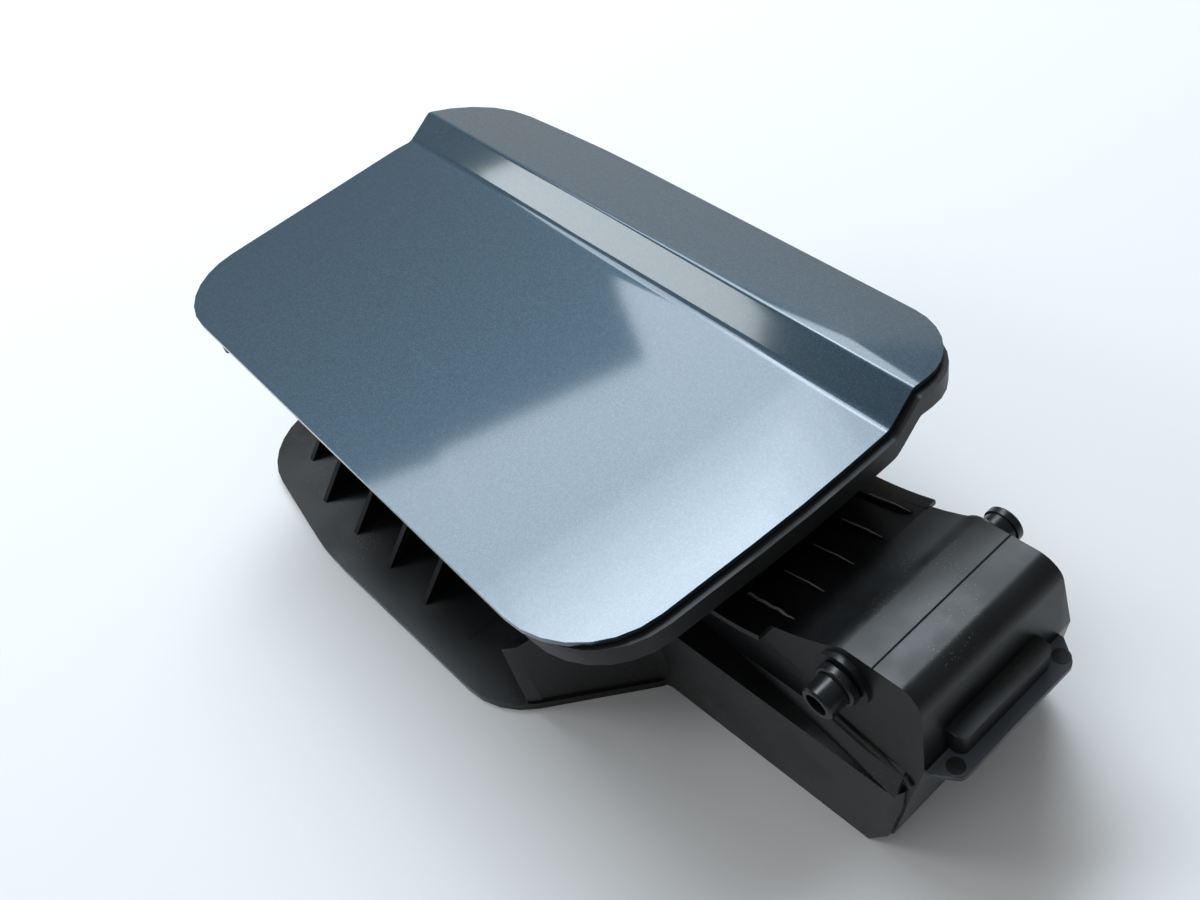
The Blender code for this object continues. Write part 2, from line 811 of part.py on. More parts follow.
def roof_height(x):
    """Height of the hollow roof above a place in X."""
    share = (x - LIP_X) / (CREST_X - LIP_X)
    chord = -LIP_DEPTH + (LIP_DEPTH - CREST_DEPTH) * share
    return chord - ROOF_SAG * 4 * share * (1 - share)


def roof_fins():
    """Thin fins along the hollow roof, from its lip to where it steepens."""
    fins = []
    steps = 4
    stations = [LIP_X + 0.001 + (FIN_END_X - LIP_X - 0.001) * step / steps for step in range(steps + 1)]
    rises = [FIN_HEIGHT * (1 if step < steps else 0.1) for step in range(steps + 1)]
    top = [Vector((x, roof_height(x) + rise)) for x, rise in zip(stations, rises)]
    foot = [Vector((x, roof_height(x) - 0.001)) for x in stations]
    for number in range(FIN_COUNT):
        y = POCKET_MIDDLE + (number - (FIN_COUNT - 1) / 2) * FIN_PITCH
        fins.append(side_solid(foot + list(reversed(top)), y - FIN_THICKNESS / 2, y + FIN_THICKNESS / 2))
    return joined(fins)


def end_tab():
    half = POCKET_WIDTH / 2
    near = POCKET_MIDDLE - half
    far = POCKET_MIDDLE + half
    corners = [
        (TAB_X - 0.0015, near - 0.0019, 0.0),
        (TAB_X + 0.0012, near - 0.0019, 0.0008),
        (TAB_REACH, near + 0.0017, 0.0025),
        (TAB_REACH, far - 0.0054, 0.0025),
        (TAB_X + 0.0008, far - 0.0018, 0.0008),
        (TAB_X - 0.0015, far - 0.0018, 0.0),
    ]
    plate = prism(rounded(corners), -TAB_DEPTH - TAB_THICKNESS, -TAB_DEPTH)
    middle = POCKET_MIDDLE - 0.0018
    ends = BLOCK_LENGTH / 2
    block = prism(rounded([
        (TAB_X - 0.003, middle - ends, 0.0),
        (BLOCK_REACH, middle - ends, 0.0022),
        (BLOCK_REACH, middle + ends, 0.0022),
        (TAB_X - 0.003, middle + ends, 0.0),
    ]), -TAB_DEPTH - TAB_THICKNESS / 2, -TAB_DEPTH + BLOCK_HEIGHT)
    return plate, block


def make_housing():
    plastic = finish("housing_plastic", BLACK, 0.42)
    outline = bowl_outline()
    housing = piece("housing", prism(outline, -DEPTH - TRIM, -BOWL_RIM - TRIM), plastic)
    lip = prism(inset(outline, -RIM_LIP), -BOWL_RIM - RIM_LIP_THICKNESS, -BOWL_RIM)
    join(housing, lip, "rim_lip")
    join(housing, gussets(), "gussets")
    join(housing, prism(rounded(flange_corners()), -DEPTH - 2 * TRIM, -DEPTH + FLANGE), "flange")
    chamber = chamber_outline()
    near = POCKET_MIDDLE - POCKET_WIDTH / 2
    far = POCKET_MIDDLE + POCKET_WIDTH / 2
    section = pocket_section()
    lower = tool(drafted(chamber, -DEPTH - 3 * TRIM, -LEDGE_DEPTH, CHAMBER_DRAFT), "housing_chamber")
    cut(lower, front_wedge(section, CHAMBER_FRONT_SETBACK), "front")
    join(housing, lower, "chamber")
    join(housing, splayed(side_solid(section, near, far)), "pocket")
    near_wing, far_wing = roof_wings(near, far)
    join(housing, near_wing, "near_wing")
    join(housing, far_wing, "far_wing")
    cut(housing, box((-1, -1, -1), (1, 1, -DEPTH)), "foot")
    cut_hollows(housing, outline, chamber, section, near, far)
    join(housing, roof_fins(), "fins")
    plate, block = end_tab()
    join(housing, plate, "tab")
    join(housing, block, "tab_block")
    add_pin_bosses(housing)
    cut_holes(housing)


def drafted(outline, low, high, draft):
    """Prism whose outline draws in by draft from its foot to its top."""
    mesh = without_flat_edges(prism(outline, low, high))
    tops = {(round(a.x, 6), round(a.y, 6)): b for a, b in zip(outline, inset(outline, draft))}
    middle = (low + high) / 2
    for vertex in mesh.vertices:
        if vertex.co.z > middle:
            place = tops[(round(vertex.co.x, 6), round(vertex.co.y, 6))]
            vertex.co.x = place.x
            vertex.co.y = place.y
    return mesh


def cut_hollows(housing, outline, chamber, section, near, far):
    """Inside of the bowl, the recess under its floor and the hollow of the pocket."""
    floor_top = -FLOOR_DEPTH + FLOOR
    inner = inset(outline, WALL)
    cut(housing, prism(inner, floor_top, 0), "bowl_inside")
    wall_x = POCKET_HOLLOW_X
    low = -DEPTH - 4 * TRIM
    under = tool(drafted(inset(chamber, WALL), low, -LEDGE_DEPTH - WALL, CHAMBER_DRAFT), "housing_under")
    cut(under, front_wedge(section, CHAMBER_FRONT_SETBACK + WALL), "front")
    cut(under, prism(outline, -1, 1), "bowl")
    cut(under, splayed(side_solid(section, near, far)), "pocket")
    cut(housing, under, "under")
    recess = tool(prism(inner, -DEPTH - 0.01, -FLOOR_DEPTH), "housing_recess")
    cut(recess, box((wall_x - 2 * WALL, -1, -1), (1, 1, 1)), "recess_end")
    cut(housing, recess, "recess")
    inside = inset(section, POCKET_WALL)
    floor = -DEPTH + WALL
    lip = Vector((LIP_X, inside[-2].y))
    hollow = [Vector((wall_x, floor)), Vector((inside[1].x, floor))] + inside[2:-2]
    hollow += [lip, Vector((LIP_X, 0)), Vector((wall_x, 0))]
    cut(housing, splayed(side_solid(hollow, near + POCKET_WALL, far - POCKET_WALL)), "pocket_inside")
    start = BOWL_HINGE_X - 1.5 * WALL
    side = POCKET_WALL * 0.3
    opening = box((start, near + side, -BOWL_RIM - RIM_LIP), (LIP_X + RIM_LIP, far - side, 0))
    cut(housing, opening, "rim_gap")
    reach = (boss_face() - GAP, 2 * POCKET_MIDDLE - boss_face() + GAP)
    ends = [(AXLE_X, y, -AXLE_DEPTH) for y in reach]
    cut(housing, drum(HUB_RADIUS + HUB_CLEARANCE, *ends), "hub_relief")


def add_pin_bosses(housing):
    faces = (boss_outer_face(), boss_face())
    for name, side in (("near", 1), ("far", -1)):
        ends = faces if side > 0 else [2 * POCKET_MIDDLE - face for face in faces]
        ring = drum(PIN_BOSS_RADIUS, (AXLE_X, ends[0], -AXLE_DEPTH), (AXLE_X, ends[1], -AXLE_DEPTH))
        join(housing, ring, f"{name}_boss")


def cut_holes(housing):
    bore = drum(AXLE_RADIUS + RUNNING_FIT, (AXLE_X, 0, -AXLE_DEPTH), (AXLE_X, FLAP_WIDTH, -AXLE_DEPTH))
    cut(housing, bore, "pin_bore")
    floor = (-DEPTH - 0.001, -FLOOR_DEPTH + FLOOR + 0.001)
    cut(housing, drum(NECK_HOLE, (NECK_X, NECK_Y, floor[0]), (NECK_X, NECK_Y, floor[1]), 48), "neck_hole")
    cut(housing, drum(DRAIN_HOLE, (DRAIN_X, DRAIN_Y, floor[0]), (DRAIN_X, DRAIN_Y, floor[1])), "drain_hole")
    wall = BOWL_SIDE_INSET
    ends = [(x, LOCK_Y, -LOCK_DEPTH) for x in (wall - WALL, wall + 2 * WALL)]
    cut(housing, drum(LOCK_RADIUS + BUSH_WALL + GAP, *ends), "lock_hole")


# Pin, clip, washers and spring


def make_axle():
    near = boss_outer_face() - AXLE_NEAR_REACH
    far = 2 * POCKET_MIDDLE - boss_outer_face() + AXLE_FAR_REACH
    bevel = 0.0004
    profile = [
        (0, far),
        (HEAD_RADIUS - bevel, far),
        (HEAD_RADIUS, far - bevel),
        (HEAD_RADIUS, far - HEAD_THICKNESS),
        (AXLE_RADIUS, far - HEAD_THICKNESS),
        (AXLE_RADIUS, near + bevel),
        (AXLE_RADIUS - bevel, near),
        (AXLE_BORE_RADIUS, near),
        (AXLE_BORE_RADIUS, near + AXLE_BORE_DEPTH),
        (0, near + AXLE_BORE_DEPTH),
    ]
    plastic = finish("axle_plastic", BLACK, 0.35)
    axle = piece("hinge_axle", turned(profile, (AXLE_X, 0, -AXLE_DEPTH), "Y"), plastic)
    half = AXLE_BORE_RADIUS + 0.0005
    low = (AXLE_X - 0.0005, near + 0.002, -AXLE_DEPTH - half)
    high = (AXLE_X + 0.0005, near + AXLE_BORE_DEPTH + 0.001, -AXLE_DEPTH + half)
    join(axle, box(low, high), "cross_rib")


def ring_along_y(inner, outer, near, far, bevel=0.0003):
    profile = [
        (inner, far),
        (outer - bevel, far),
        (outer, far - bevel),
        (outer, near + bevel),
        (outer - bevel, near),
        (inner, near),
    ]
    return turned(profile, (AXLE_X, 0, -AXLE_DEPTH), "Y", closed=True)


def make_pin_fittings():
    bore = AXLE_RADIUS + RUNNING_FIT
    face = boss_outer_face()
    clip = ring_along_y(bore, CLIP_RADIUS, face - GAP - CLIP_THICKNESS, face - GAP)
    piece("axle_clip", clip, finish("clip_plastic", BLACK, 0.38))
    nylon = finish("washer_nylon", (0.62, 0.60, 0.54, 1.0), 0.5)
    seat = boss_face() + GAP
    for name, near in (("washer_near", seat), ("washer_far", 2 * POCKET_MIDDLE - seat - WASHER_THICKNESS)):
        piece(name, ring_along_y(bore, WASHER_RADIUS, near, near + WASHER_THICKNESS), nylon)


def make_spring():
    """Leg spring: a close coil round the pin, one leg on the arm and one on the pocket's front wall."""
    per_turn = 12
    points = []
    start = POCKET_MIDDLE - SPRING_LENGTH / 2
    total = SPRING_TURNS * per_turn + per_turn // 2
    for step in range(total + 1):
        angle = math.tau * step / per_turn
        y = start + SPRING_LENGTH * step / total
        x = AXLE_X + SPRING_RADIUS * math.cos(angle)
        points.append(Vector((x, y, -AXLE_DEPTH + SPRING_RADIUS * math.sin(angle))))
    front_leg = Vector((AXLE_X + SPRING_RADIUS + 0.0004, start, -AXLE_DEPTH - 0.004))
    front_tip = Vector((front_wall(-AXLE_DEPTH - 0.010) - 2 * GAP - SPRING_WIRE, start, -AXLE_DEPTH - 0.010))
    arm_tip = Vector((AXLE_X - SPRING_RADIUS + 0.0015, points[-1].y, -AXLE_DEPTH - 0.0105))
    points = [front_tip, front_leg] + points[:-1] + [points[-1], arm_tip]
    curve = bpy.data.curves.new("spring", "CURVE")
    curve.dimensions = "3D"
    curve.bevel_depth = SPRING_WIRE
    curve.bevel_resolution = 2
    curve.use_fill_caps = True
    spline = curve.splines.new("POLY")
    spline.points.add(len(points) - 1)
    for point, place in zip(spline.points, points):
        point.co = (*place, 1)
    guide = bpy.data.objects.new("spring", curve)
    CUTTERS.objects.link(guide)
    piece("hinge_spring", evaluated_mesh(guide), finish("spring_steel", STEEL, 0.3, 1.0))


def front_wall(height):
    """Place in X of the pocket's front wall, on its inner side, at a height above the tab's level."""
    top = -POCKET_TOP - NOSE_RADIUS
    share = (top - height) / (top + TAB_DEPTH)
    return NOSE_X + (TAB_X - NOSE_X) * share - POCKET_WALL


# Flap fittings


def screw(name, place, head_top, tip):
    x, y = place
    shank = SCREW_RADIUS
    profile = [
        (0, tip),
        (shank - 0.0004, tip),
        (shank, tip - 0.0008),
        (shank, head_top),
        (SCREW_HEAD_RADIUS, head_top),
        (SCREW_HEAD_RADIUS, head_top - SCREW_HEAD * 0.4),
        (SCREW_HEAD_RADIUS * 0.72, head_top - SCREW_HEAD),
        (0, head_top - SCREW_HEAD),
    ]
    zinc = finish(f"{name}_zinc", STEEL, 0.35, 1.0)
    thing = piece(name, turned(profile, (x, y, 0), sides=SMALL_SIDES), zinc)
    slot = SCREW_HEAD_RADIUS * 0.5
    foot = head_top - SCREW_HEAD
    cross = united(box((x - slot, y - 0.0004, foot - 0.001), (x + slot, y + 0.0004, foot + 0.0010)),
                   box((x - 0.0004, y - slot, foot - 0.001), (x + 0.0004, y + slot, foot + 0.0010)))
    cut(thing, cross, "recess")


def make_screws():
    under_sheet = -RIB_FOOT - GAP - ARM_SHEET - GAP
    under_foot = striker_top() - STRIKER_THICKNESS - GAP
    tip = -CARRIER_TOP - SKIN - GAP
    for number, place in enumerate(screw_places(), 1):
        screw(f"arm_screw_{number}", place, under_sheet, tip)
    screw("striker_screw", striker_screw_place(), under_foot, tip)


def striker_top():
    return -RIB_FOOT - GAP


def make_striker():
    """Bracket under the flap: a screwed foot and a hanging plate with the lock pin's eye."""
    top = striker_top()
    half = STRIKER_WIDTH / 2
    low = -LOCK_DEPTH - half * 0.85
    plate = cross_solid(rounded([
        (LOCK_Y - half, low, half * 0.8),
        (LOCK_Y + half, low, half * 0.8),
        (LOCK_Y + half, top, 0.0),
        (LOCK_Y - half, top, 0.0),
    ]), STRIKER_X, STRIKER_X + STRIKER_THICKNESS)
    metal = finish("striker_steel", STEEL, 0.32, 1.0)
    striker = piece("latch_striker", plate, metal)
    foot = prism(rounded([
        (STRIKER_X + 0.0004, LOCK_Y - half + 0.0002, 0.0),
        (STRIKER_X + STRIKER_WIDTH, LOCK_Y - half + 0.0002, 0.004),
        (STRIKER_X + STRIKER_WIDTH, LOCK_Y + half - 0.0002, 0.004),
        (STRIKER_X + 0.0004, LOCK_Y + half - 0.0002, 0.0),
    ]), top - STRIKER_THICKNESS, top - 0.0001)
    join(striker, foot, "foot")
    ends = [(x, LOCK_Y, -LOCK_DEPTH) for x in (STRIKER_X - 0.005, STRIKER_X + 0.010)]
    cut(striker, drum(LOCK_RADIUS + 0.0007, *ends), "eye")
    x, y = striker_screw_place()
    cut(striker, drum(SCREW_RADIUS + GAP, (x, y, 0), (x, y, top - 0.006), SMALL_SIDES), "screw_hole")


def make_cap_holder():
    """Clip for the cap's grip: a foot on the carrier and two springy fingers with hooked ends."""
    top = -RIB_FOOT - GAP
    sheet = 0.0018
    half = 0.009
    drop = 0.0125
    hook = 0.0022
    y = CAP_HOLDER_Y
    right = [
        Vector((y + half, top)),
        Vector((y + half, top - drop + 0.002)),
        Vector((y + half + 0.0016, top - drop)),
        Vector((y + half - sheet - 0.0003, top - drop - 0.0016)),
        Vector((y + half - sheet - hook, top - drop + 0.0012)),
        Vector((y + half - sheet, top - drop + 0.0035)),
        Vector((y + half - sheet, top - sheet)),
    ]
    left = [Vector((2 * y - point.x, point.y)) for point in reversed(right)]
    outline = list(reversed(right + left))
    start = CAP_HOLDER_X - CAP_HOLDER_LENGTH / 2
    clip = cross_solid(outline, start, start + CAP_HOLDER_LENGTH)
    piece("cap_holder", clip, finish("cap_holder_plastic", BLACK, 0.5))


def make_buffers():
    top = -CARRIER_FOOT - GAP
    foot = -BOWL_RIM + GAP
    profile = [
        (0, top),
        (BUFFER_RADIUS * 0.8, top),
        (BUFFER_RADIUS, top - 0.0012),
        (BUFFER_RADIUS * 0.78, (top + foot) / 2),
        (BUFFER_RADIUS, foot + 0.0020),
        (BUFFER_RADIUS * 0.7, foot + 0.0003),
        (BUFFER_RADIUS * 0.4, foot),
        (0, foot),
    ]
    rubber = finish("buffer_rubber", SOOT, 0.8)
    for name, side in (("buffer_near", -1), ("buffer_far", 1)):
        place = (BUFFER_X, MIDDLE_Y - 0.012 + side * BUFFER_SPREAD, 0)
        piece(name, turned(profile, place, sides=SMALL_SIDES), rubber)


# Bowl fittings


def make_neck():
    """Rubber collar that grips the floor's edge, and the ring that clamps it."""
    top = -FLOOR_DEPTH + FLOOR
    foot = -FLOOR_DEPTH
    edge = NECK_HOLE
    groove = edge - GAP
    bead = 0.0015
    profile = [
        (groove, top + GAP),
        (edge + 0.004, top + GAP),
        (edge + 0.004, top + GAP + bead),
        (edge - 0.0035, top + GAP + bead),
        (edge - 0.0050, foot - 0.0040),
        (edge - 0.0035, foot - 0.0044),
        (edge - 0.0020, foot - GAP - bead),
        (edge + 0.003, foot - GAP - bead),
        (edge + 0.003, foot - GAP),
        (groove, foot - GAP),
    ]
    rubber = finish("neck_rubber", SOOT, 0.75)
    piece("neck_seal", turned(list(reversed(profile)), (NECK_X, NECK_Y, 0), closed=True, sides=48), rubber)
    seat = top + GAP + bead + GAP
    ring = [
        (edge - 0.0030, seat + 0.0012),
        (edge + 0.0030, seat + 0.0012),
        (edge + 0.0038, seat + 0.0004),
        (edge + 0.0038, seat),
        (edge - 0.0030, seat),
    ]
    plastic = finish("ring_plastic", BLACK, 0.4)
    piece("neck_ring", turned(ring, (NECK_X, NECK_Y, 0), closed=True, sides=48), plastic)


def make_drain():
    top = -FLOOR_DEPTH + FLOOR
    foot = -FLOOR_DEPTH
    groove = DRAIN_HOLE - GAP
    profile = [
        (groove, top + GAP),
        (groove, foot - GAP),
        (DRAIN_HOLE + 0.0012, foot - GAP),
        (DRAIN_HOLE, foot - 0.0060),
        (DRAIN_HOLE - 0.0015, foot - 0.0060),
        (DRAIN_HOLE - 0.0015, top + 0.0014),
        (DRAIN_HOLE + 0.0016, top + 0.0014),
        (DRAIN_HOLE + 0.0022, top + GAP),
    ]
    rubber = finish("drain_rubber", SOOT, 0.8)
    piece("drain_grommet", turned(profile, (DRAIN_X, DRAIN_Y, 0), closed=True), rubber)


def make_lock():
    """Flanged bush in the bowl's far wall, and the bolt that slides in it."""
    inner_face = BOWL_SIDE_INSET + WALL
    bore = LOCK_RADIUS + RUNNING_FIT
    flange = 0.0014
    start = BOWL_SIDE_INSET - 0.0042
    sleeve = [
        (bore, inner_face + GAP + flange),
        (LOCK_RADIUS + 0.0042, inner_face + GAP + flange),
        (LOCK_RADIUS + 0.0048, inner_face + GAP),
        (LOCK_RADIUS + BUSH_WALL, inner_face + GAP),
        (LOCK_RADIUS + BUSH_WALL, start),
        (bore, start),
    ]
    place = (0, LOCK_Y, -LOCK_DEPTH)
    grey = finish("bush_plastic", (0.5, 0.5, 0.47, 1.0), 0.5)
    piece("pin_bush", turned(sleeve, place, "X", closed=True), grey)
    tip = STRIKER_X - 0.002
    tail = start - LOCK_TRAVEL - GAP - 0.0015
    bolt = [
        (0, tip),
        (LOCK_RADIUS * 0.55, tip),
        (LOCK_RADIUS, tip - 0.0015),
        (LOCK_RADIUS, tail + 0.0015),
        (LOCK_RADIUS + 0.0012, tail + 0.0015),
        (LOCK_RADIUS + 0.0012, tail),
        (0, tail),
    ]
    piece("lock_pin", turned(bolt, place, "X"), finish("lock_plastic", (0.78, 0.75, 0.68, 1.0), 0.45))


def settle():
    """Carry the datum so that the model stands on Z = 0 with its footprint centred on the origin."""
    flange = rounded(flange_corners())
    low_x = min(point.x for point in flange)
    low_y = min(point.y for point in flange)
    high_y = max(point.y for point in flange)
    DATUM.location = (-(low_x + TAB_REACH) / 2, -(low_y + high_y) / 2, DEPTH)


def main():
    make_housing()
    make_skin()
    make_carrier()
    make_arm()
    make_axle()
    make_pin_fittings()
    make_spring()
    make_striker()
    make_screws()
    make_cap_holder()
    make_buffers()
    make_neck()
    make_drain()
    make_lock()
    settle()


main()
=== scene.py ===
# %% [markdown]
# # Fuel filler flap
#
# This is the painted flap that hides a car's filler cap, closed over the black housing that carries
# it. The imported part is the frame: every solid is already in place. This lesson only gives the solids
# their soft edges and finishes, adds the fine pieces, and sets up the floor, the light and the camera.

import math

import bmesh
import bpy
from mathutils import Matrix, Quaternion, Vector


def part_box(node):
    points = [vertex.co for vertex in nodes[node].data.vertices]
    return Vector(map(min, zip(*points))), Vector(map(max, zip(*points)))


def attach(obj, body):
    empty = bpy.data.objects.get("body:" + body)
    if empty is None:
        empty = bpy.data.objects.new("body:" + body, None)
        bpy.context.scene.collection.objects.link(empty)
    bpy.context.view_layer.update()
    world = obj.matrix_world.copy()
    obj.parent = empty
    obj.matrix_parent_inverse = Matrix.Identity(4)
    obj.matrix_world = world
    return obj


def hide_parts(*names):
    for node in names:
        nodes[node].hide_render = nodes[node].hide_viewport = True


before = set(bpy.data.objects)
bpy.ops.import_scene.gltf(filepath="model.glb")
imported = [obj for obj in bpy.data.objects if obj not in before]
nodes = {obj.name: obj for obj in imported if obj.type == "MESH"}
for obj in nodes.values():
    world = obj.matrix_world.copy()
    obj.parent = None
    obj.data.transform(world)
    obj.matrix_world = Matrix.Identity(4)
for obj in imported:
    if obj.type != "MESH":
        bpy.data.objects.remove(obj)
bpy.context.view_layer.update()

# %% [markdown]
# The part was designed from the flap's far lower corner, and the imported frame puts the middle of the
# footprint at the origin. One vector carries a place in the design, in millimetres, into the frame.
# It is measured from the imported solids, so it follows them if they change.

# %% Design places
MM = 0.001
PANEL_HEIGHT = 0.070
SKIN_LOW, SKIN_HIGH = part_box("flap_skin")
HOUSING_LOW, HOUSING_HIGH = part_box("housing")
DATUM = Vector((SKIN_LOW.x, SKIN_LOW.y, PANEL_HEIGHT))


def at(x, y, z):
    """Place in the frame of a design place in millimetres."""
    return DATUM + Vector((x, y, z)) * MM


def in_mm(vector):
    return [round(value / MM, 1) for value in vector]


print("datum at", in_mm(DATUM), "mm")
print("flap", in_mm(SKIN_HIGH - SKIN_LOW), "mm, housing", in_mm(HOUSING_HIGH - HOUSING_LOW), "mm")

# %% [markdown]
# ## Soft edges
#
# No moulded or pressed edge is razor sharp: it has a small round that catches the light. The rounds
# could be cut into each mesh, but a solid's mesh arrives as loose triangles and stays as it is. So
# modifiers do it: a Weld closes the mesh, a Bevel rounds what turns sharply, and a Weighted Normal
# keeps the flat faces flat.


# %% Soften the solids' edges
WELD_REACH = 0.00001
SOLID_ANGLE = 32


def shade_smooth(mesh):
    for face in mesh.polygons:
        face.use_smooth = True


def round_edges(thing, width, angle, segments):
    """Round, of a width in millimetres, on every edge that turns by more than the angle."""
    bevel = thing.modifiers.new("soft edge", "BEVEL")
    bevel.width = width * MM
    bevel.segments = segments
    bevel.limit_method = "ANGLE"
    bevel.angle_limit = math.radians(angle)


def keep_flats(thing):
    normals = thing.modifiers.new("flat faces", "WEIGHTED_NORMAL")
    normals.keep_sharp = True


def soften_piece(thing, width):
    shade_smooth(thing.data)
    weld = thing.modifiers.new("close", "WELD")
    weld.merge_threshold = WELD_REACH
    round_edges(thing, width, SOLID_ANGLE, 2)
    keep_flats(thing)


SMALL_ROUND = 0.15
EDGE_ROUNDS = {
    "housing": 0.45,
    "flap_carrier": 0.4,
    "flap_skin": 0.35,
    "hinge_arm": 0.4,
    "hinge_axle": 0.25,
    "axle_clip": 0.2,
    "latch_striker": 0.25,
    "cap_holder": 0.25,
    "lock_pin": 0.25,
    "pin_bush": 0.25,
    "neck_ring": 0.3,
    "drain_grommet": 0.3,
}
for name, thing in nodes.items():
    soften_piece(thing, EDGE_ROUNDS.get(name, SMALL_ROUND))
print("softened", len(nodes), "solids")

# %% [markdown]
# ## Finishes
#
# A finish is a material, and what several finishes share is a node group with named sockets. Small
# helpers make the nodes, so that each finish below reads as a short recipe.


# %% Helpers for shader nodes
def new_group(name, inputs, outputs):
    """Node group with named sockets, each given as (name, kind, default)."""
    group = bpy.data.node_groups.new(name, "ShaderNodeTree")
    for label, kind, default in inputs:
        socket = group.interface.new_socket(label, in_out="INPUT", socket_type=kind)
        socket.default_value = default
    for label, kind in outputs:
        group.interface.new_socket(label, in_out="OUTPUT", socket_type=kind)
    return group, group.nodes.new("NodeGroupInput"), group.nodes.new("NodeGroupOutput")


def noise(tree, place, scale, detail, roughness):
    node = tree.nodes.new("ShaderNodeTexNoise")
    for label, number in (("Scale", scale), ("Detail", detail), ("Roughness", roughness)):
        node.inputs[label].default_value = number
    tree.links.new(place, node.inputs["Vector"])
    return node


def remap(tree, value, low, high, to_low, to_high):
    node = tree.nodes.new("ShaderNodeMapRange")
    node.interpolation_type = "SMOOTHSTEP"
    for label, number in (("From Min", low), ("From Max", high), ("To Min", to_low), ("To Max", to_high)):
        node.inputs[label].default_value = number
    tree.links.new(value, node.inputs["Value"])
    return node.outputs["Result"]


def plug(tree, socket, value):
    """Set a socket to a number or colour, or link another socket to it."""
    if isinstance(value, (int, float, tuple)):
        socket.default_value = value
    else:
        tree.links.new(value, socket)


def maths(tree, kind, first, second):
    node = tree.nodes.new("ShaderNodeMath")
    node.operation = kind
    for socket, value in zip(node.inputs, (first, second)):
        plug(tree, socket, value)
    return node.outputs["Value"]


def mixed(tree, factor, first, second):
    node = tree.nodes.new("ShaderNodeMix")
    node.data_type = "RGBA"
    for number, value in ((0, factor), (6, first), (7, second)):
        plug(tree, node.inputs[number], value)
    return node.outputs[2]


def srgb(red, green, blue):
    """Linear colour of an 8-bit display colour."""
    def linear(level):
        level /= 255
        return level / 12.92 if level <= 0.04045 else ((level + 0.055) / 1.055) ** 2.4
    return (linear(red), linear(green), linear(blue), 1.0)


def scaled(colour, factor):
    return tuple(min(1.0, level * factor) for level in colour[:3]) + (1.0,)


print("mid grey is", round(srgb(128, 128, 128)[0], 3), "in linear light")

# %% [markdown]
# Dust is what shows most on dark plastic: pale specks, a few together, thicker in some places. An
# image could hold them, but cells of a Voronoi texture give specks at any size, and a slow noise
# says where they lie. The second group is the moulding's own grain: a fine bump, and the slow cloud
# that shifts its sheen.


# %% Dust and grain groups
SPECK_SIZE = 0.0006
SPECK_EDGE = (0.10, 0.22)
PATCH_EDGE = (0.48, 0.66)
GRAIN_SCALE = 2500.0
CLOUD_EDGE = (0.35, 0.68)


def build_dust():
    group, inside, outside = new_group(
        "dust_specks",
        [("Speck Size", "NodeSocketFloat", SPECK_SIZE), ("Cover", "NodeSocketFloat", 0.3)],
        [("Mask", "NodeSocketFloat")],
    )
    place = group.nodes.new("ShaderNodeTexCoord").outputs["Object"]
    size = maths(group, "DIVIDE", 1.0, inside.outputs["Speck Size"])
    cells = group.nodes.new("ShaderNodeTexVoronoi")
    group.links.new(place, cells.inputs["Vector"])
    group.links.new(size, cells.inputs["Scale"])
    specks = remap(group, cells.outputs["Distance"], *SPECK_EDGE, 1.0, 0.0)
    chance = group.nodes.new("ShaderNodeSeparateColor")
    group.links.new(cells.outputs["Color"], chance.inputs["Color"])
    chosen = maths(group, "LESS_THAN", chance.outputs["Red"], inside.outputs["Cover"])
    patches = remap(group, noise(group, place, 45.0, 4.0, 0.6).outputs["Fac"], *PATCH_EDGE, 0.0, 1.0)
    mask = maths(group, "MULTIPLY", specks, chosen)
    mask = maths(group, "MULTIPLY", mask, patches)
    group.links.new(mask, outside.inputs["Mask"])
    return group


def build_grain():
    """Fine bump of a spark-eroded mould, and the slow changes of sheen over it."""
    group, inside, outside = new_group(
        "mould_grain",
        [("Grain Scale", "NodeSocketFloat", GRAIN_SCALE), ("Depth", "NodeSocketFloat", 0.3)],
        [("Height", "NodeSocketFloat"), ("Cloud", "NodeSocketFloat")],
    )
    place = group.nodes.new("ShaderNodeTexCoord").outputs["Object"]
    fine = noise(group, place, GRAIN_SCALE, 2.0, 0.5)
    group.links.new(inside.outputs["Grain Scale"], fine.inputs["Scale"])
    height = maths(group, "MULTIPLY", fine.outputs["Fac"], inside.outputs["Depth"])
    cloud = remap(group, noise(group, place, 38.0, 5.0, 0.6).outputs["Fac"], *CLOUD_EDGE, 0.0, 1.0)
    group.links.new(height, outside.inputs["Height"])
    group.links.new(cloud, outside.inputs["Cloud"])
    return group


DUST = build_dust()
GRAIN = build_grain()
print("groups:", DUST.name, GRAIN.name)

# %% [markdown]
# Every finish starts from one new material, takes a group with its own values, and may end in a bump.


# %% Helpers for finishes
def new_finish(name):
    material = bpy.data.materials.new(name)
    material.use_nodes = True
    return material, material.node_tree, material.node_tree.nodes["Principled BSDF"]


def placed(material, group, **values):
    node = material.node_tree.nodes.new("ShaderNodeGroup")
    node.node_tree = group
    for label, value in values.items():
        node.inputs[label].default_value = value
    return node


def add_bump(tree, shader, height, strength, distance):
    bump = tree.nodes.new("ShaderNodeBump")
    bump.inputs["Strength"].default_value = strength
    bump.inputs["Distance"].default_value = distance
    tree.links.new(height, bump.inputs["Height"])
    tree.links.new(bump.outputs["Normal"], shader.inputs["Normal"])


# %% [markdown]
# ## Black moulded plastic
#
# The housing is one black moulding. It is never quite black: about half a percent of the light comes
# back as colour and the rest is sheen, satin with cloudy changes, and dust lies on it. One recipe
# makes all the plastics and rubbers, because they differ only in colour, sheen, grain and dust.


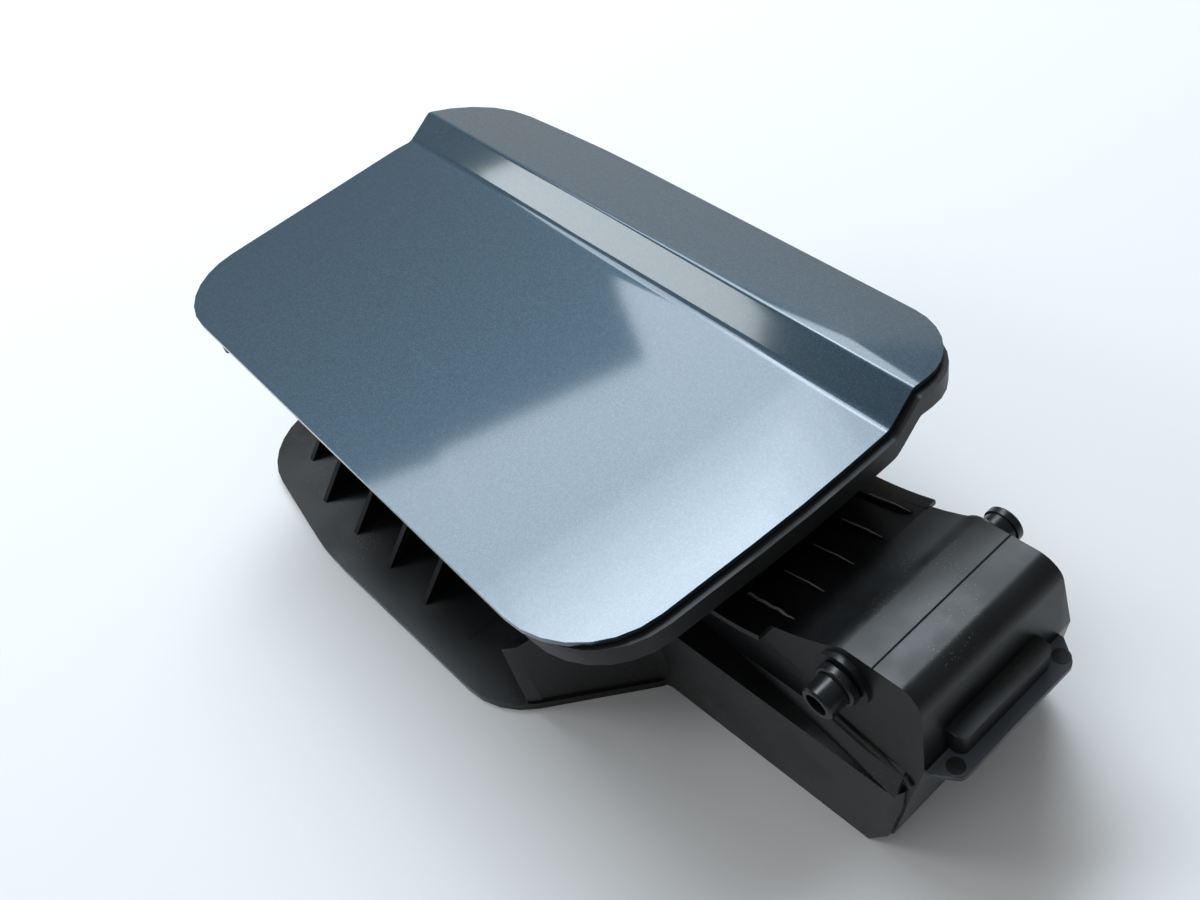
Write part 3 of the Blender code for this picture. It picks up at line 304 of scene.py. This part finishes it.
# %% Plastics and rubber
def moulded(name, colour, dusty, roughness, grain_depth=0.25, cover=0.35):
    material, tree, shader = new_finish(name)
    grain = placed(material, GRAIN, Depth=grain_depth)
    dust = placed(material, DUST, Cover=cover)
    body = mixed(tree, grain.outputs["Cloud"], colour, scaled(colour, 1.5))
    covered = mixed(tree, dust.outputs["Mask"], body, dusty)
    tree.links.new(covered, shader.inputs["Base Color"])
    sheen = remap(tree, grain.outputs["Cloud"], 0.0, 1.0, roughness - 0.05, roughness + 0.08)
    tree.links.new(sheen, shader.inputs["Roughness"])
    add_bump(tree, shader, grain.outputs["Height"], 0.12, 0.00006)
    shader.inputs["Specular IOR Level"].default_value = 0.3
    return material


BLACK = moulded("black moulding", srgb(16, 17, 18), srgb(120, 108, 92), 0.33, cover=0.5)
SATIN = moulded("black pin moulding", srgb(19, 20, 22), srgb(120, 112, 100), 0.28, cover=0.1)
MATT = moulded("black inner panel", srgb(18, 18, 18), srgb(110, 102, 92), 0.5)
RUBBER = moulded("black rubber", srgb(26, 26, 27), srgb(120, 115, 108), 0.62, 0.6)
# Pale grey for the web tops: a painted highlight where their edges catch the light.
PAINTED_EDGE_HIGHLIGHT = moulded("black plastic with painted edge highlight", srgb(112, 112, 108), srgb(150, 145, 135), 0.5, 0.8)
# Lighter, bluer grey for the tab's top: a painted reflection of the sky it faces.
PAINTED_SKY_TAB = moulded("black plastic with painted sky reflection", srgb(58, 62, 68), srgb(120, 112, 100), 0.38)
NYLON = moulded("natural nylon", srgb(205, 200, 184), srgb(150, 140, 120), 0.42, cover=0.1)
GREY = moulded("grey bush plastic", srgb(168, 168, 162), srgb(120, 112, 100), 0.42, cover=0.1)
MOULDED = (BLACK, SATIN, MATT, RUBBER, PAINTED_EDGE_HIGHLIGHT, PAINTED_SKY_TAB, NYLON, GREY)
print("moulded finishes:", ", ".join(material.name for material in MOULDED))

# %% [markdown]
# ## Metallic paint
#
# The flap's paint has three layers: a tinted base, aluminium flakes in it, and a clear coat over
# both. Real flakes are too small to model, so tiny cells tint and tilt the metallic base, and the
# coat is the shader's own.


# %% Metallic paint
FLAKE_SCALE = 5200.0


def build_flakes():
    group, inside, outside = new_group(
        "paint_flakes",
        [("Flake Scale", "NodeSocketFloat", FLAKE_SCALE), ("Base", "NodeSocketColor", (0.1, 0.16, 0.22, 1)),
         ("Flake", "NodeSocketColor", (0.3, 0.4, 0.48, 1)), ("Tilt", "NodeSocketFloat", 0.2)],
        [("Colour", "NodeSocketColor"), ("Height", "NodeSocketFloat")],
    )
    place = group.nodes.new("ShaderNodeTexCoord").outputs["Object"]
    cells = group.nodes.new("ShaderNodeTexVoronoi")
    group.links.new(place, cells.inputs["Vector"])
    group.links.new(inside.outputs["Flake Scale"], cells.inputs["Scale"])
    channel = group.nodes.new("ShaderNodeSeparateColor")
    group.links.new(cells.outputs["Color"], channel.inputs["Color"])
    bright = remap(group, channel.outputs["Red"], 0.45, 1.0, 0.0, 1.0)
    colour = mixed(group, bright, inside.outputs["Base"], inside.outputs["Flake"])
    group.links.new(colour, outside.inputs["Colour"])
    height = maths(group, "MULTIPLY", channel.outputs["Green"], inside.outputs["Tilt"])
    group.links.new(height, outside.inputs["Height"])
    return group


FLAKES = build_flakes()
PAINT_LEVELS = {
    "Metallic": 0.6,
    "Roughness": 0.45,
    "Coat Weight": 1.0,
    "Coat Roughness": 0.07,
    "Coat IOR": 1.5,
}


def painted():
    material, tree, shader = new_finish("slate metallic paint")
    flakes = placed(material, FLAKES, Base=srgb(30, 52, 65), Flake=srgb(46, 72, 87), Tilt=0.5)
    tree.links.new(flakes.outputs["Colour"], shader.inputs["Base Color"])
    for label, level in PAINT_LEVELS.items():
        shader.inputs[label].default_value = level
    add_bump(tree, shader, flakes.outputs["Height"], 0.10, 0.00002)
    return material


PAINT = painted()
print("flakes are about", round(1000 / FLAKE_SCALE, 2), "mm across")

# %% [markdown]
# ## Bare metal
#
# Screws, striker and spring are plated or bare steel: metallic, a little rough, with cloudy plating.
# The moulding's grain group serves again, here only for its cloud.


# %% Bare metal
def plated(name, colour, roughness):
    material, tree, shader = new_finish(name)
    grain = placed(material, GRAIN, Depth=0.4)
    body = mixed(tree, grain.outputs["Cloud"], colour, scaled(colour, 0.72))
    tree.links.new(body, shader.inputs["Base Color"])
    shader.inputs["Metallic"].default_value = 1.0
    sheen = remap(tree, grain.outputs["Cloud"], 0.0, 1.0, roughness, roughness + 0.15)
    tree.links.new(sheen, shader.inputs["Roughness"])
    return material


ZINC = plated("zinc plating", srgb(188, 190, 192), 0.28)
STEEL = plated("spring steel", srgb(150, 152, 156), 0.3)
print("metal finishes:", ZINC.name, STEEL.name)

# %% [markdown]
# One table says which solid has which finish. Whatever it leaves out is a screw or the striker, and
# those are zinc plated.

# %% Give each solid its finish
FINISHES = {
    "flap_skin": PAINT,
    "flap_carrier": MATT,
    "housing": BLACK,
    "hinge_arm": BLACK,
    "cap_holder": MATT,
    "hinge_axle": SATIN,
    "axle_clip": SATIN,
    "neck_ring": SATIN,
    "neck_seal": RUBBER,
    "drain_grommet": RUBBER,
    "buffer_near": RUBBER,
    "buffer_far": RUBBER,
    "washer_near": NYLON,
    "washer_far": NYLON,
    "pin_bush": GREY,
    "lock_pin": NYLON,
    "hinge_spring": STEEL,
}
for name, thing in nodes.items():
    thing.data.materials.clear()
    thing.data.materials.append(FINISHES.get(name, ZINC))
print("finished", len(nodes), "solids,", len(nodes) - len(FINISHES), "of them in zinc")

# %% [markdown]
# ## Pieces of its own
#
# Small moulded details are closed blocks: most are one face through a few corner points, extruded by a
# vector. Each rides on the body that carries it, in that body's black or in a finish of its own: a painted
# highlight on the pale web tops, a painted sky reflection on the tab's lighter top, and a rougher black where
# the real one is in shade. A block's faces are turned outwards once it is whole, and its open edges are
# counted, because there should be none.


# %% Helpers for pieces
PIECE_ANGLE = 30


def slab(outline, lift):
    """Closed block: a face through the outline's places, extruded by a vector in millimetres."""
    shape = bmesh.new()
    face = shape.faces.new([shape.verts.new(at(*place)) for place in outline])
    grown = bmesh.ops.extrude_face_region(shape, geom=[face], use_keep_orig=True)
    moved = [part for part in grown["geom"] if isinstance(part, bmesh.types.BMVert)]
    bmesh.ops.translate(shape, verts=moved, vec=Vector(lift) * MM)
    return shape


def mesh_of(shape, name):
    mesh = bpy.data.meshes.new(name)
    shape.to_mesh(mesh)
    shape.free()
    return mesh


def place_piece(name, shape, finish, body, round_off=0.0, segments=2):
    bmesh.ops.recalc_face_normals(shape, faces=shape.faces)
    open_edges = sum(1 for edge in shape.edges if not edge.is_manifold)
    mesh = mesh_of(shape, name)
    mesh.materials.append(finish)
    shade_smooth(mesh)
    made = bpy.data.objects.new(name, mesh)
    bpy.context.scene.collection.objects.link(made)
    if round_off:
        round_edges(made, round_off, PIECE_ANGLE, segments)
    keep_flats(made)
    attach(made, body)
    print(name, "faces", len(mesh.polygons), "open edges", open_edges)
    return made


# %% [markdown]
# The housing's lower chamber starts at the flange's hinge corner, where the flange runs smoothly up
# into it. The solid keeps the chamber square; this copy cuts the start away on a slant, closes it with
# a plate and a new start wall, and takes the solid's place. The rest of the housing is right as it is,
# so it isn't built anew: Booleans change it only here, and each of their operands is a closed block.

# %% Housing with its slanted chamber
FLANGE_TOP = -67.5
LEDGE_TOP = -41.0
CHAMBER_PARTS = {  # part: (operation, foot, height)
    "cut": ("DIFFERENCE", FLANGE_TOP + 0.05, 29),
    "plate": ("UNION", FLANGE_TOP - 2.4, 2.48),
    "wall": ("UNION", FLANGE_TOP - 2.3, LEDGE_TOP - FLANGE_TOP + 2.1),
}
CHAMBER_STARTS = {
    "near": {
        "cut": [(108, -14), (137.0, -14), (141.9, 20.0), (140.9, 19.2), (136.7, 16.75), (131.9, 15.9),
                (108, 15.9)],
        "plate": [(113, -3.4), (128, -3.4), (137.0, 1.4), (142.4, 19.0), (131, 16.6), (113, 16.6)],
        "wall": [(138.5, 2.6), (140.9, 5.4), (144.3, 20.8), (141.8, 20.2)],
    },
    "far": {
        "cut": [(108, 128.4), (108, 98.5), (141.3, 98.5), (137.0, 128.4)],
        "plate": [(113, 117.8), (113, 97.8), (142.0, 97.8), (138.0, 115.2), (128, 117.8)],
        "wall": [(138.7, 114.2), (141.3, 98.2), (143.7, 98.2), (141.1, 112.4)],
    },
}


def add_boolean(thing, operation, shape, label):
    bmesh.ops.recalc_face_normals(shape, faces=shape.faces)
    helper = bpy.data.objects.new(label, mesh_of(shape, label))
    step = thing.modifiers.new(label, "BOOLEAN")
    step.operation = operation
    step.solver = "EXACT"
    step.object = helper
    return helper


def make_housing_moulding():
    shape = bmesh.new()
    shape.from_mesh(nodes["housing"].data)
    bmesh.ops.remove_doubles(shape, verts=shape.verts, dist=WELD_REACH)
    made = bpy.data.objects.new("housing_copy", mesh_of(shape, "housing_copy"))
    bpy.context.scene.collection.objects.link(made)
    helpers = []
    for side, outlines in CHAMBER_STARTS.items():
        for part, (operation, foot, height) in CHAMBER_PARTS.items():
            block = slab([(x, y, foot) for x, y in outlines[part]], (0, 0, height))
            helpers.append(add_boolean(made, operation, block, side + "_" + part))
    bpy.context.view_layer.update()
    solved = made.evaluated_get(bpy.context.evaluated_depsgraph_get())
    shape = bmesh.new()
    shape.from_mesh(solved.to_mesh())
    for thing in helpers + [made]:
        bpy.data.objects.remove(thing, do_unlink=True)
    bmesh.ops.remove_doubles(shape, verts=shape.verts, dist=WELD_REACH)
    return shape


housing = place_piece("housing_moulding", make_housing_moulding(), BLACK, "mount")
housing.modifiers.clear()
soften_piece(housing, EDGE_ROUNDS["housing"])
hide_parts("housing")

# %% [markdown]
# Where the flange meets the start wall a hollow round runs up it. A bevel can't make a hollow round
# that grows along its length, so it is a bar of its own: four rings with a concave face, smaller
# towards the flange's rim, bridged one to the next.


# %% Flange fillet
FILLET_STEPS = 8
FILLET_LINE = [  # x, y and radius along the wall's foot
    (138.6, 2.8, 2.0),
    (139.5, 8.0, 6.0),
    (140.6, 13.6, 8.0),
    (141.9, 19.9, 8.0),
]


def bridge_rings(rings):
    """Closed bar through rings of design places, each ring with as many places as the next."""
    shape = bmesh.new()
    rows = [[shape.verts.new(at(*place)) for place in ring] for ring in rings]
    loops = [[shape.edges.new((row[i - 1], row[i])) for i in range(len(row))] for row in rows]
    for first, second in zip(loops, loops[1:]):
        bmesh.ops.bridge_loops(shape, edges=first + second)
    shape.faces.new(rows[0])
    shape.faces.new(rows[-1])
    return shape


def fillet_ring(x, y, radius):
    ring = [(x + 0.4, y, FLANGE_TOP - 0.2)]
    for step in range(FILLET_STEPS + 1):
        turn = math.radians(90 * step / FILLET_STEPS)
        ring.append((x - radius * (1 - math.sin(turn)), y, FLANGE_TOP + radius * (1 - math.cos(turn)) + 0.09))
    return ring


fillet = bridge_rings([fillet_ring(*station) for station in FILLET_LINE])
place_piece("flange_fillet", fillet, BLACK, "mount")

# %% [markdown]
# Beside the pocket a ledge tapers to a point: the wall above it leans out until it meets the rim.
# A long wedge on the ledge makes that face, and a raised rib with a pointed end runs above it. Both
# are set from one line, the wall's own lean, so they lie on it at any height.

# %% Ledge flare and wall rib
WALL_LEAN = 0.11394
WALL_LEVEL_Y = 45.26
FLARE_TIP_X, FLARE_END_X = 168, 228.6
FLARE_RIM_Y = 37.5
FLARE_PEAK_Z = -33.5
RIB_SUNK, RIB_PROUD = 0.5, 0.7
RIB_OUTLINE = [(206.0, -33.2), (229.6, -35.6), (231.0, -37.0), (230.2, -38.4), (205.6, -36.0)]


def wall_y(z):
    """Near face of the pocket's wall at a height."""
    return WALL_LEVEL_Y + WALL_LEAN * z


def make_ledge_flare():
    foot = LEDGE_TOP - 0.2
    outline = [
        (FLARE_TIP_X, wall_y(LEDGE_TOP) + 0.6, foot),
        (FLARE_END_X, wall_y(LEDGE_TOP) + 0.8, foot),
        (FLARE_END_X, FLARE_RIM_Y, foot),
    ]
    shape = bmesh.new()
    low = [shape.verts.new(at(*place)) for place in outline]
    peak = shape.verts.new(at(FLARE_END_X, wall_y(FLARE_PEAK_Z) + 0.3, FLARE_PEAK_Z))
    shape.faces.new(low)
    for first, second in zip(low, low[1:] + low[:1]):
        shape.faces.new((first, second, peak))
    return shape


place_piece("ledge_flare", make_ledge_flare(), BLACK, "mount", 0.2)
rib = slab([(x, wall_y(z) + RIB_SUNK, z) for x, z in RIB_OUTLINE], (0, -RIB_SUNK - RIB_PROUD, 0))
place_piece("wall_rib", rib, BLACK, "mount", 0.3, 3)

# %% [markdown]
# The mounting tab is a flat plate with round corners. A thin skin over the solid gives the corners
# their full curve, by a bevel on its upright edges alone. Two shallow discs on it are the marks of the
# mould's ejector pins, which push the part out and leave a ring behind.


# %% Tab skin and ejector marks
TAB_FOOT, TAB_LIFT = -29.9, 0.68
TAB_OUTLINE = [(233.0, 42.4), (234.4, 42.4), (238.95, 46.0), (238.95, 80.3), (234.0, 84.0), (233.0, 84.0)]
TAB_CORNER = 2.2
UPRIGHT = 0.4 * MM


def make_tab_skin():
    shape = slab([(x, y, TAB_FOOT) for x, y in TAB_OUTLINE], (0, 0, TAB_LIFT))
    root = at(234.2, 0, 0).x
    corners = [
        edge for edge in shape.edges
        if abs(edge.verts[0].co.z - edge.verts[1].co.z) > UPRIGHT and edge.verts[0].co.x > root
    ]
    bmesh.ops.bevel(shape, geom=corners, offset=TAB_CORNER * MM, segments=6, profile=0.5, affect="EDGES",
                    material=-1, clamp_overlap=True)
    return shape


def disc(x, y, z, radius, height):
    shape = bmesh.new()
    bmesh.ops.create_cone(shape, cap_ends=True, segments=40, radius1=radius * MM,
                          radius2=(radius - 0.12) * MM, depth=height * MM)
    bmesh.ops.translate(shape, verts=shape.verts, vec=at(x, y, z))
    return shape


# The skin's lighter, bluer grey is a painted reflection of the sky on the tab's top.
place_piece("tab_skin", make_tab_skin(), PAINTED_SKY_TAB, "mount", 0.12)
for name, y in (("ejector_mark_near", 46.9), ("ejector_mark_far", 80.0)):
    place_piece(name, disc(236.3, y, -29.2, 2.0, 0.16), BLACK, "mount")

# %% [markdown]
# The mould's halves met across the box top and left a hairline there. A groove so fine would be lost
# in the solid, so it is a dark strip a fifth of a millimetre wide that follows the flat top.

# %% Parting line
SEAM_OUTLINE = [(218.2, 43.9), (218.4, 43.9), (218.4, 86.0), (218.2, 86.0)]
seam = slab([(x, y, -9.4) for x, y in SEAM_OUTLINE], (0, 0, 0.13))
place_piece("parting_line", seam, MATT, "mount")

# %% [markdown]
# The thin webs on the hollow roof show pale edges where they catch the light. A second colour on the housing
# would need a painted mask, so a pale strip lies on each web's top instead, as a painted highlight. The
# nearest web is torn, so its strip is wider, longer and ragged.


# %% Pale web edges
ROOF_FOOT_X, ROOF_LIP_X = 176.5, 211.0
ROOF_FOOT_Z, ROOF_RISE, ROOF_SAG = -25.6, 15.3, 2.3
WEB_COUNT, WEB_PITCH = 5, 9.3
POCKET_MIDDLE_Y = 65.0
WEB_HEIGHT, WEB_LOSS = 1.1, 0.98
WEB_FADE_X, WEB_FADE_RUN = 190.4, 4.6
WEB_END_X = 195.0
WEB_STEPS = 16
WEB_LOOKS = {  # start along the roof, width and raggedness
    "torn": (181.0, 0.7, 0.12),
    "whole": (183.0, 0.3, 0.0),
}


def roof_z(x):
    """Height of the hollow roof: a straight rise with a sag in the middle."""
    share = (x - ROOF_FOOT_X) / (ROOF_LIP_X - ROOF_FOOT_X)
    return ROOF_FOOT_Z + ROOF_RISE * share - ROOF_SAG * 4 * share * (1 - share)


def web_ring(step, y, start, width, ragged):
    x = start + (WEB_END_X - start) * step / WEB_STEPS
    rise = WEB_HEIGHT
    if x >= WEB_FADE_X:
        rise -= WEB_LOSS * (x - WEB_FADE_X) / WEB_FADE_RUN
    half = width / 2 * min(1.0, (WEB_STEPS - step) / 5 + 0.25)
    middle = y + ragged * math.sin(step * 1.3)
    low, high = roof_z(x) + rise - 0.1, roof_z(x) + rise + 0.07
    return [(x, middle - half, low), (x, middle + half, low),
            (x, middle + half, high), (x, middle - half, high)]


for number in range(WEB_COUNT):
    y = POCKET_MIDDLE_Y + (number - 2) * WEB_PITCH
    look = WEB_LOOKS["torn" if number == 0 else "whole"]
    strip = bridge_rings([web_ring(step, y, *look) for step in range(WEB_STEPS + 1)])
    # Each pale strip is a painted highlight on the web's top edge.
    place_piece("web_edge_%d" % (number + 1), strip, PAINTED_EDGE_HIGHLIGHT, "mount")

# %% [markdown]
# A small peg stands under the flap's near edge, close to its far corner. It is the same disc as an
# ejector mark, only taller, and it is the one new piece that swings with the flap.

# %% Flap peg
place_piece("flap_peg", disc(29.0, 1.9, -4.6, 1.5, 3.4), MATT, "flap", 0.2)

# %% [markdown]
# ## Floor, light and camera
#
# A pale floor keeps the shadow, and a dim, slightly blue world lights what the lamps don't reach. The
# floor is one large grid face, a fifth of a millimetre below the part so that the two never touch.


# %% Floor and surroundings
FLOOR_HALF = 6.0
FLOOR_DROP = 0.0002


def make_floor():
    shape = bmesh.new()
    bmesh.ops.create_grid(shape, x_segments=1, y_segments=1, size=FLOOR_HALF)
    mesh = mesh_of(shape, "floor")
    floor = bpy.data.objects.new("floor", mesh)
    floor.location.z = -FLOOR_DROP
    bpy.context.scene.collection.objects.link(floor)
    material, _, shader = new_finish("pale floor")
    shader.inputs["Base Color"].default_value = (0.80, 0.80, 0.80, 1)
    shader.inputs["Roughness"].default_value = 0.9
    mesh.materials.append(material)
    return floor


make_floor()

world = bpy.data.worlds.new("studio")
bpy.context.scene.world = world
world.use_nodes = True
air = world.node_tree.nodes["Background"]
air.inputs["Color"].default_value = (0.86, 0.88, 0.90, 1)
air.inputs["Strength"].default_value = 0.27
print("floor is", 2 * FLOOR_HALF, "m wide")

# %% [markdown]
# Glossy paint shows whatever stands around it, so the lamps are placed by what the panel mirrors.
# Three panes of one window give the bright patch with its clear edges, and four dimmer strips above
# them let it fade. A small skylight, a low window, a dim grey wall and a wide ceiling lamp fill the
# rest. A picture of a room would do the same, but plain lamps are easy to move and read.


# %% Lamps
LAMP_REACH = 1.5
FLAP_MIDDLE = at(93, 57, 0)
SKY_BLUE = (0.82, 0.92, 1.0)
WINDOW_PLACE = (158, 54)
WINDOW_GLOW = 6.6
WINDOW_PANES = (  # name, width, height, lean and shift
    ("window_middle", 13.5, 19.0, 3, (-0.045, 0.018)),
    ("window_hinge", 23.4, 23.4, 3, (-0.3675, -0.0285)),
    ("window_far", 24.0, 17.5, 0, (0.287, 0.015)),
)


def lamp(name, azimuth, elevation, wide, high, glow, colour=(1, 1, 1), lean=0, shift=(0, 0)):
    """Flat lamp seen from the flap at these angles; glow is the level it shows in a mirror."""
    around, above = math.radians(azimuth), math.radians(elevation)
    way = Vector((math.cos(around) * math.cos(above), math.sin(around) * math.cos(above), math.sin(above)))
    light = bpy.data.lights.new(name, "AREA")
    light.shape = "RECTANGLE"
    light.size = 2 * LAMP_REACH * math.tan(math.radians(wide / 2))
    light.size_y = 2 * LAMP_REACH * math.tan(math.radians(high / 2))
    light.energy = glow * math.pi * light.size * light.size_y
    light.color = colour
    holder = bpy.data.objects.new(name, light)
    turn = way.to_track_quat("Z", "Y") @ Quaternion((0, 0, 1), math.radians(lean))
    aside = turn @ Vector((shift[0], shift[1], 0))
    holder.rotation_euler = turn.to_euler()
    holder.location = FLAP_MIDDLE + (way + aside) * LAMP_REACH
    holder.visible_camera = False
    bpy.context.scene.collection.objects.link(holder)


for name, wide, high, lean, shift in WINDOW_PANES:
    lamp(name, *WINDOW_PLACE, wide, high, WINDOW_GLOW, SKY_BLUE, lean, shift)
for step in range(4):
    lamp("high_window_%d" % (step + 1), 160, 60 + 1.6 * step, 38 - 3 * step, 13, 2.1, SKY_BLUE, lean=10)
lamp("low_window", -140, 31, 17, 12, 9.0, (0.90, 0.97, 1.0))
lamp("grey_wall", 134, 26, 32, 16, 0.8, (1.0, 0.93, 0.84))
lamp("skylight", 121, 61, 16, 9, 3.0, SKY_BLUE)
lamp("ceiling", -60, 76, 40, 40, 0.8)
print("lamps:", len(bpy.data.lights))

# %% [markdown]
# The photograph was taken from close by, so near edges look larger than far ones. The camera's place,
# lens and turn were fitted until the flap's outline lay on the photograph's, and are given as numbers
# here. Aiming at a point would be shorter, but it leaves out the camera's roll.


# %% Camera
CAMERA_PLACE = at(298.93, -40.40, 192.43)
CAMERA_LENS, CAMERA_SENSOR = 35.22, 36.0
CAMERA_TURN = Matrix((
    (0.6378, -0.4851, 0.5983),
    (0.7439, 0.5891, -0.3154),
    (-0.1995, 0.6462, 0.7366),
))


def stand_camera():
    data = bpy.data.cameras.new("camera")
    data.lens = CAMERA_LENS
    data.sensor_width = CAMERA_SENSOR
    data.clip_start = 0.01
    camera = bpy.data.objects.new("camera", data)
    camera.matrix_world = Matrix.Translation(CAMERA_PLACE) @ CAMERA_TURN.to_4x4()
    bpy.context.scene.collection.objects.link(camera)
    bpy.context.scene.camera = camera


stand_camera()
bpy.context.scene.view_settings.view_transform = "Standard"
print("camera is", round((CAMERA_PLACE - FLAP_MIDDLE).length, 3), "m from the flap's middle")
